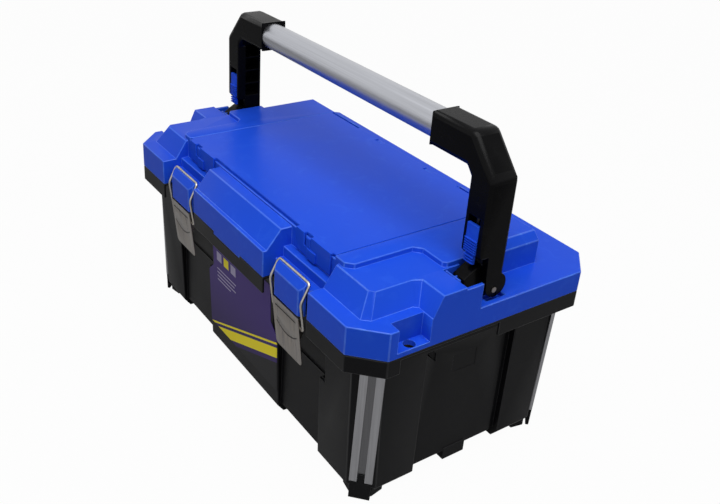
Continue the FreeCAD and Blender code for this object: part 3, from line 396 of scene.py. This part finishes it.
def knuckle_limit(edge):
    """Very small rounding on the hinge's knuckles, no limit elsewhere."""
    hinge, front, height, small = joint_place("lid_hinge"), 0.006, 0.007, 0.0002
    near = all(vert.co.y > hinge.y - front and abs(vert.co.z - hinge.z) < height for vert in edge.verts)
    return small if near else math.inf


def mesh_box(mesh):
    """The lowest and the highest corner of a mesh."""
    return [Vector([pick(vert.co[axis] for vert in mesh.verts) for axis in range(3)]) for pick in (min, max)]


def new_object(name, data):
    """A new object in the scene."""
    made = bpy.data.objects.new(name, data)
    bpy.context.scene.collection.objects.link(made)
    return made


def mesh_object(name, mesh, finish):
    """A new object from a bmesh, which it frees."""
    data = bpy.data.meshes.new(name)
    mesh.to_mesh(data)
    mesh.free()
    data.materials.append(finish)
    return new_object(name, data)


def moulded_piece(name, node, body, finish, width, shape=None, limit=None, edge_highlight_finish=None):
    """A rounded-edge copy of one of the frame's solids, which it replaces.

    shape may work on the copy first, limit may cap an edge's rounding, the edge finish goes on the rounded
    edges as a paler colour: a painted highlight along them.
    """
    mesh = merged_copy(node)
    if shape:
        shape(mesh)
    weigh_edges(mesh, width, limit)
    piece = mesh_object(name, mesh, finish)
    bevel = piece.modifiers.new("rounded_edges", "BEVEL")
    bevel.limit_method, bevel.offset_type = "WEIGHT", "OFFSET"
    bevel.width, bevel.use_clamp_overlap = width, False
    bevel.segments = bpy.context.scene.toolbox_moulding.edge_steps
    # The rounded edges take a paler finish: a painted highlight along every edge.
    if edge_highlight_finish:
        piece.data.materials.append(edge_highlight_finish)
        bevel.material = 1
    piece.data.shade_smooth()
    piece.data.set_sharp_from_angle(angle=CREASE)
    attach(piece, body)
    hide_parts(node)
    return piece


class BentWire:
    """Round wire drawn from a ring of points by straight runs and round bends."""

    def __init__(self, start, heading, radius, sides=14):
        self.mesh = bmesh.new()
        self.place, self.heading = Vector(start), Vector(heading).normalized()
        turn = Matrix.Translation(self.place) @ self.heading.to_track_quat("Z", "Y").to_matrix().to_4x4()
        ring = bmesh.ops.create_circle(self.mesh, segments=sides, radius=radius, matrix=turn)["verts"]
        self.ring = list({edge for vert in ring for edge in vert.link_edges})

    def run(self, length):
        """Straight on along the heading."""
        made = bmesh.ops.extrude_edge_only(self.mesh, edges=self.ring)["geom"]
        bmesh.ops.translate(self.mesh, verts=[part for part in made if isinstance(part, bmesh.types.BMVert)],
                            vec=self.heading * length)
        self.ring = [part for part in made if isinstance(part, bmesh.types.BMEdge)
                     and all(vert in made for vert in part.verts)]
        self.place = self.place + self.heading * length
        return self

    def bend(self, heading, radius, steps=6):
        """Round bend to a new heading."""
        heading = Vector(heading).normalized()
        axis, angle = self.heading.cross(heading).normalized(), self.heading.angle(heading)
        centre = self.place + axis.cross(self.heading) * radius
        verts = list({vert for edge in self.ring for vert in edge.verts})
        last = bmesh.ops.spin(self.mesh, geom=verts + self.ring, cent=centre, axis=axis, angle=angle,
                              steps=steps, use_merge=False, use_duplicate=False)["geom_last"]
        self.ring = [part for part in last if isinstance(part, bmesh.types.BMEdge)]
        self.place = centre + Matrix.Rotation(angle, 3, axis) @ (self.place - centre)
        self.heading = heading
        return self

    def close(self):
        """A flat end face."""
        bmesh.ops.contextual_create(self.mesh, geom=self.ring)
        return self


def dress(node, finish):
    """Give one of the frame's solids its finish."""
    slots = FRAME["nodes"][node].data.materials
    slots.clear()
    slots.append(finish)


# ---------------------------------------------------------------- operators
class TOOLBOX_OT_tub(bpy.types.Operator):
    """Black tub with its rim, latch channels, end bays and feet"""

    bl_idname = "toolbox.tub"
    bl_label = "Tub"

    def execute(self, context):
        width = context.scene.toolbox_moulding.shell_radius
        # The tub's rounded edges take a paler black: a painted highlight.
        moulded_piece("tub_moulding", "tub", "tub", finish_named("black_plastic"), width,
                      limit=knuckle_limit, edge_highlight_finish=finish_named("black_edge"))
        return {"FINISHED"}


class TOOLBOX_OT_lid(bpy.types.Operator):
    """Blue lid shell with its keepers, bins, arm bays and padlock niches"""

    bl_idname = "toolbox.lid"
    bl_label = "Lid"

    def execute(self, context):
        width = context.scene.toolbox_moulding.shell_radius
        # The lid's rounded edges take a paler blue: a painted highlight.
        moulded_piece("lid_moulding", "lid_shell", "lid", finish_named("blue_plastic"), width,
                      limit=knuckle_limit, edge_highlight_finish=finish_named("blue_edge"))
        return {"FINISHED"}


class TOOLBOX_OT_organiser_cover(bpy.types.Operator):
    """Blue organiser cover, flush in the lid"""

    bl_idname = "toolbox.organiser_cover"
    bl_label = "Organiser Cover"

    def execute(self, context):
        width = 0.6 * context.scene.toolbox_moulding.shell_radius
        moulded_piece("cover_moulding", "organizer_cover", "cover", finish_named("blue_plastic"),
                      width)
        dress("organizer_hinge_rod", finish_named("latch_steel"))
        return {"FINISHED"}


class TOOLBOX_OT_handle(bpy.types.Operator):
    """Elbow arms, carry tube, brackets, pivot pins, slide locks and their springs"""

    bl_idname = "toolbox.handle"
    bl_label = "Handle"

    def execute(self, context):
        moulding = context.scene.toolbox_moulding
        # The arms' finish is the tub's black darkened: painted shade.
        black, blue = finish_named("handle_black"), finish_named("blue_plastic")
        dress("handle_tube", finish_named("tube_aluminium"))
        for side in SIDES:
            # The arms' rounded edges take a darkened black that is a little paler than their faces: painted
            # shade with a painted highlight.
            moulded_piece(f"arm_moulding_{side}", f"handle_arm_{side}", "handle", black,
                          moulding.arm_radius, shape=self.part_above_hub, limit=self.arm_limit,
                          edge_highlight_finish=finish_named("handle_edge"))
            moulded_piece(f"bracket_moulding_{side}", f"handle_bracket_{side}", "lid", black,
                          0.5 * moulding.shell_radius)
            moulded_piece(f"slide_moulding_{side}", f"slide_button_{side}", f"slide_{side}", blue,
                          0.35 * moulding.shell_radius, shape=self.ridge_tongue)
            dress(f"pivot_pin_{side}", finish_named("latch_steel"))
            # The springs are dressed near black: painted shade in the slot.
            dress(f"slide_spring_{side}", finish_named("spring_steel"))
        return {"FINISHED"}

    def part_above_hub(self, mesh):
        """Cut the upright's long edges above the hub, so that only their upper part is well rounded."""
        hub = 0.018  # from the slide's foot to the cut
        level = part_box("slide_button_left")[0][2] + hub
        bmesh.ops.bisect_plane(mesh, geom=mesh.verts[:] + mesh.edges[:] + mesh.faces[:], dist=TOUCHING,
                               plane_co=(0, 0, level), plane_no=(0, 0, 1))

    def arm_limit(self, edge):
        """Least rounding in the ribs, little at the hub and opening, medium on the upright's inner side."""
        wall, opening, web = 0.0015, 0.0012, 0.008  # thicknesses, with some room
        hub, frame = 0.006, 0.012  # above the slide's foot, above its top
        moulding = bpy.context.scene.toolbox_moulding
        small = 0.8 * moulding.shell_radius
        (_, grip_front, grip_base), (_, grip_back, _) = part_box("handle_tube")
        (slide_inner, _, slide_foot), (slide_outer, _, slide_top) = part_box("slide_button_right")
        ends = [vert.co for vert in edge.verts]
        low, high = sorted(end.z for end in ends)
        near, far = sorted(abs(end.x) for end in ends)
        if high < grip_base and all(grip_front + wall < end.y < grip_back - wall for end in ends):
            return 0.3 * small
        if low < slide_foot + hub:
            return small
        if near > slide_inner - opening and far < slide_outer + opening and high < slide_top + frame:
            return small
        if far < slide_inner - opening and near > slide_inner - web:
            return 2.2 * small
        return moulding.arm_radius

    def ridge_tongue(self, mesh):
        """Three more ridges on the tongue below the slide's grip."""
        ridge, pitch = (0.0132, 0.0022, 0.0015), 0.0032
        inset, first = 0.0012, 0.0022  # the lowest ridge's middle, behind the grip and above the foot
        low, high = mesh_box(mesh)
        for step in range(3):
            middle = ((low.x + high.x) / 2, low.y + inset, low.z + first + step * pitch)
            place = Matrix.Translation(middle) @ Matrix.Diagonal((*ridge, 1))
            bmesh.ops.create_cube(mesh, size=1, matrix=place)


class TOOLBOX_OT_latches(bpy.types.Operator):
    """Wire bails and pressed plates of the two toggle latches"""

    bl_idname = "toolbox.latches"
    bl_label = "Latches"

    def execute(self, context):
        width = context.scene.toolbox_moulding.metal_radius
        for side in SIDES:
            plate = moulded_piece(f"plate_pressing_{side}", f"latch_plate_{side}", f"plate_{side}",
                                  finish_named("latch_steel"), width, shape=self.press_plate,
                                  limit=self.groove_limit)
            # Second, near-black finish for the grooves: painted shade.
            plate.data.materials.append(finish_named("groove_steel"))
            self.bail(side)
            dress(f"hinge_pin_{side}", finish_named("latch_steel"))
        return {"FINISHED"}

    def press_plate(self, mesh):
        """Round a plate's lower corners and press a straight and a bowed groove into its front."""
        reach, end = 0.0215, 0.0205  # from a groove's middle to its ends and to where they begin
        half, depth = 0.0009, 0.0007  # half the width of a groove and its depth
        self.round_corners(mesh)
        front = max(mesh.faces, key=lambda face: -face.normal.y * face.calc_area())
        inward, slope = -front.normal, Vector((0, front.normal.z, -front.normal.y))
        top = max(vert.co.z for vert in front.verts)
        middle = sum(pick(vert.co.x for vert in front.verts) for pick in (min, max)) / 2
        part = [front, *front.edges, *front.verts]
        for place in (-reach, *(end * step / 7 for step in range(-7, 8)), reach):
            part = self.cut(mesh, part, (middle + place, 0, 0), (1, 0, 0))
        for level, bow in ((0.0085, 0), (0.0375, 17)):
            rows = [level - half, level, level + half]
            for row in rows:
                part = self.cut(mesh, part, (0, 0, top - row), (0, 0, 1))
            for vert in {piece for piece in part if isinstance(piece, bmesh.types.BMVert)}:
                row = next((row for row in rows if abs(top - vert.co.z - row) < 2 * TOUCHING), None)
                if row is None:
                    continue
                across = abs(vert.co.x - middle)
                vert.co += slope * bow * min(across, reach) ** 2
                if row == level and across < reach - NEAR:
                    vert.co += inward * depth
                    # The sunk faces take the second, near-black finish: painted shade in the groove.
                    for face in vert.link_faces:
                        face.material_index = 1

    def cut(self, mesh, part, place, normal):
        """Cut a part of a mesh by a plane and return the whole part."""
        return bmesh.ops.bisect_plane(mesh, geom=part, dist=TOUCHING / 10, plane_co=place,
                                      plane_no=normal)["geom"]

    def groove_limit(self, edge):
        """No rounding along the grooves."""
        return 0 if any(face.material_index for face in edge.link_faces) else math.inf

    def round_corners(self, mesh):
        """Round the two lower corners of a plate."""
        rise, radius = 0.0004, 0.0055  # most height of a corner's ends above the foot, rounding
        low, high = mesh_box(mesh)
        corners = [edge for edge in mesh.edges if all(vert.co.z < low.z + rise for vert in edge.verts)
                   and abs(edge.verts[0].co.x - edge.verts[1].co.x) < NEAR
                   and min(abs(edge.verts[0].co.x - side) for side in (low.x, high.x)) < NEAR]
        bmesh.ops.bevel(mesh, geom=corners, offset=radius, segments=6, profile=0.5, affect="EDGES",
                        material=-1, offset_type="OFFSET")

    def bail(self, side):
        """Wire loop: half of it bent from the middle of the top bar, then mirrored."""
        drop, corner, knee, toe, tail = 0.022, 0.0045, 0.012, 0.0028, 0.005
        low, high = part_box(f"latch_bail_{side}")
        bar, pivot = joint_place(f"bail_{side}"), joint_place(f"plate_{side}")
        radius = high[2] - bar.z
        half, elbow = (high[0] - low[0]) / 2 - radius, Vector((0, low[1] + radius, bar.z - drop))
        upper = Vector((0, elbow.y - bar.y, elbow.z - bar.z))
        lower = Vector((0, pivot.y - elbow.y, pivot.z - elbow.z))
        shorter = knee * math.tan(upper.angle(lower) / 2)
        wire = BentWire((0, bar.y, bar.z), (1, 0, 0), radius)
        wire.run(half - corner).bend(upper, corner)
        wire.run(upper.length - corner - shorter).bend(lower, knee, steps=4)
        wire.run(lower.length - shorter - toe).bend((-1, 0, 0), toe, steps=5).run(tail).close()
        mesh = wire.mesh
        bmesh.ops.mirror(mesh, geom=mesh.verts[:] + mesh.edges[:] + mesh.faces[:], axis="X", merge_dist=NEAR)
        bmesh.ops.remove_doubles(mesh, verts=mesh.verts, dist=TOUCHING)
        bmesh.ops.recalc_face_normals(mesh, faces=mesh.faces)
        bmesh.ops.translate(mesh, verts=mesh.verts, vec=(bar.x, 0, 0))
        piece = mesh_object(f"bail_wire_{side}", mesh, finish_named("wire_steel"))
        piece.data.shade_smooth()
        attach(piece, f"bail_{side}")
        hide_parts(f"latch_bail_{side}")


class TOOLBOX_OT_corner_strips(bpy.types.Operator):
    """Grooved aluminium strips on the tub's corners and the black caps below them"""

    bl_idname = "toolbox.corner_strips"
    bl_label = "Corner Strips"

    def execute(self, context):
        moulding = context.scene.toolbox_moulding
        for corner in CORNERS:
            strip = moulded_piece(f"strip_extrusion_{corner}", f"corner_strip_{corner}", "tub",
                                  finish_named("strip_aluminium"),
                                  2 * moulding.metal_radius, shape=self.mark_groove)
            # Second finish for the groove floor: painted shade.
            strip.data.materials.append(finish_named("groove_aluminium"))
            moulded_piece(f"strip_cap_{corner}", f"strip_foot_{corner}", "tub", finish_named("black_plastic"),
                          0.6 * moulding.shell_radius)
        return {"FINISHED"}

    def mark_groove(self, mesh):
        """The floor of a strip's groove takes the second finish, a darker aluminium: painted shade in the
        groove.
        """
        facing, depth = 0.99, 0.001
        outward = max(mesh.faces, key=lambda face: face.calc_area()).normal.copy()
        middle = sum((vert.co for vert in mesh.verts), Vector()) / len(mesh.verts)
        if outward.dot(Vector((middle.x, middle.y, 0))) < 0:
            outward.negate()
        front = max(vert.co.dot(outward) for vert in mesh.verts)
        for face in mesh.faces:
            if face.normal.dot(outward) > facing and front - face.calc_center_median().dot(outward) > depth:
                face.material_index = 1


class TOOLBOX_OT_label(bpy.types.Operator):
    """Printed film on the front wall"""

    bl_idname = "toolbox.label"
    bl_label = "Label"

    def execute(self, context):
        dress("front_label", finish_named("label_film"))
        return {"FINISHED"}


class TOOLBOX_OT_stage(bpy.types.Operator):
    """Pale floor, soft lamps and the camera"""

    bl_idname = "toolbox.stage"
    bl_label = "Stage"

    def execute(self, context):
        stage = context.scene.toolbox_stage
        self.floor()
        self.lamp("key_lamp", (0.1, -1.0, 2.1), aim=(0, 0, 0.15), size=1.4, power=0.33 * stage.key_power)
        self.lamp("fill_lamp", (1.9, -0.1, 1.0), aim=(0, 0, 0.15), size=1.2, power=stage.fill_power)
        self.lamp("top_lamp", (0.55, -0.2, 1.45), aim=(0.15, -0.05, 0.2), size=1.1,
                  power=0.52 * stage.key_power)
        self.sky(stage.sky)
        self.camera(stage)
        context.scene.view_settings.view_transform = "Standard"
        return {"FINISHED"}

    def floor(self):
        """A floor that the camera sees as nearly white and that reflects little white."""
        drop, glossy_share, white_share = 0.0002, 0.12, 0.97
        mesh = bmesh.new()
        place = Matrix.Translation((0, 0, -drop))
        bmesh.ops.create_grid(mesh, x_segments=1, y_segments=1, size=6, matrix=place)
        finish = Finish("pale_floor", (0.5, 0.5, 0.5), 0.9)
        rays = finish.add("ShaderNodeLightPath").outputs
        glossy = finish.maths("MULTIPLY", rays["Is Glossy Ray"], glossy_share)
        seen = finish.maths("MULTIPLY", finish.maths("MAXIMUM", rays["Is Camera Ray"], glossy), white_share)
        white = finish.add("ShaderNodeEmission").outputs["Emission"]
        finish.feed(finish.tree.nodes["Material Output"].inputs["Surface"],
                    finish.mixed(seen, finish.shader.outputs["BSDF"], white))
        floor = mesh_object("floor", mesh, finish.material)

    def lamp(self, name, place, aim, size, power):
        """A round soft lamp."""
        data = bpy.data.lights.new(name, "AREA")
        data.shape, data.size, data.energy = "DISK", size, power
        lamp = new_object(name, data)
        lamp.location = place
        lamp.rotation_euler = (Vector(aim) - Vector(place)).to_track_quat("-Z", "Y").to_euler()

    def sky(self, strength):
        """Even light of some strength, plain white to the camera and in reflections."""
        world = bpy.data.worlds.new("studio")
        world.use_nodes = True
        nodes = Nodes(world.node_tree)
        soft = world.node_tree.nodes["Background"]
        nodes.feed(soft.inputs["Color"], (1, 1, 1))
        nodes.feed(soft.inputs["Strength"], strength)
        white = nodes.add("ShaderNodeBackground", {"Color": (1, 1, 1)})
        rays = nodes.add("ShaderNodeLightPath").outputs
        mirrored = nodes.maths("MAXIMUM", rays["Is Glossy Ray"], rays["Is Transmission Ray"])
        seen = nodes.maths("MAXIMUM", mirrored, rays["Is Camera Ray"])
        nodes.feed(world.node_tree.nodes["World Output"].inputs["Surface"],
                   nodes.mixed(seen, soft.outputs["Background"], white.outputs["Background"]))
        bpy.context.scene.world = world

    def camera(self, stage):
        """The camera, its axes given as unit vectors."""
        right, down, ahead = ((0.55402, 0.83063, 0.05577), (0.41376, -0.21661, -0.88424),
                              (-0.72240, 0.51296, -0.46369))
        data = bpy.data.cameras.new("camera")
        data.sensor_width, data.lens = 36, stage.lens
        data.shift_x, data.shift_y = 0.03125, -0.0494
        turn = Matrix((right, [-part for part in down], [-part for part in ahead])).transposed()
        camera = new_object("camera", data)
        camera.matrix_world = Matrix.Translation(stage.camera_place) @ turn.to_4x4()
        bpy.context.scene.camera = camera


class TOOLBOX_PT_panel(bpy.types.Panel):
    """Sidebar list of the tool box's pieces"""

    bl_label = "Tool Box"
    bl_idname = "TOOLBOX_PT_panel"
    bl_space_type = "VIEW_3D"
    bl_region_type = "UI"
    bl_category = "Tool Box"

    def draw(self, context):
        for group in SETTINGS:
            box = self.layout.box()
            settings = getattr(context.scene, group)
            for key in settings.__annotations__:
                box.prop(settings, key)
        for operator in OPERATORS:
            self.layout.operator(operator.bl_idname)


OPERATORS = (TOOLBOX_OT_tub, TOOLBOX_OT_lid, TOOLBOX_OT_organiser_cover, TOOLBOX_OT_handle,
             TOOLBOX_OT_latches, TOOLBOX_OT_corner_strips, TOOLBOX_OT_label, TOOLBOX_OT_stage)


def register():
    for owner in (*SETTINGS.values(), *OPERATORS, TOOLBOX_PT_panel):
        bpy.utils.register_class(owner)
    for name, group in SETTINGS.items():
        setattr(bpy.types.Scene, name, PointerProperty(type=group))


def unregister():
    for name in SETTINGS:
        delattr(bpy.types.Scene, name)
    for owner in reversed((*SETTINGS.values(), *OPERATORS, TOOLBOX_PT_panel)):
        bpy.utils.unregister_class(owner)


def main():
    register()
    bpy.ops.toolbox.tub()
    bpy.ops.toolbox.lid()
    bpy.ops.toolbox.organiser_cover()
    bpy.ops.toolbox.handle()
    bpy.ops.toolbox.latches()
    bpy.ops.toolbox.corner_strips()
    bpy.ops.toolbox.label()
    bpy.ops.toolbox.stage()


if __name__ == "__main__":
    main()
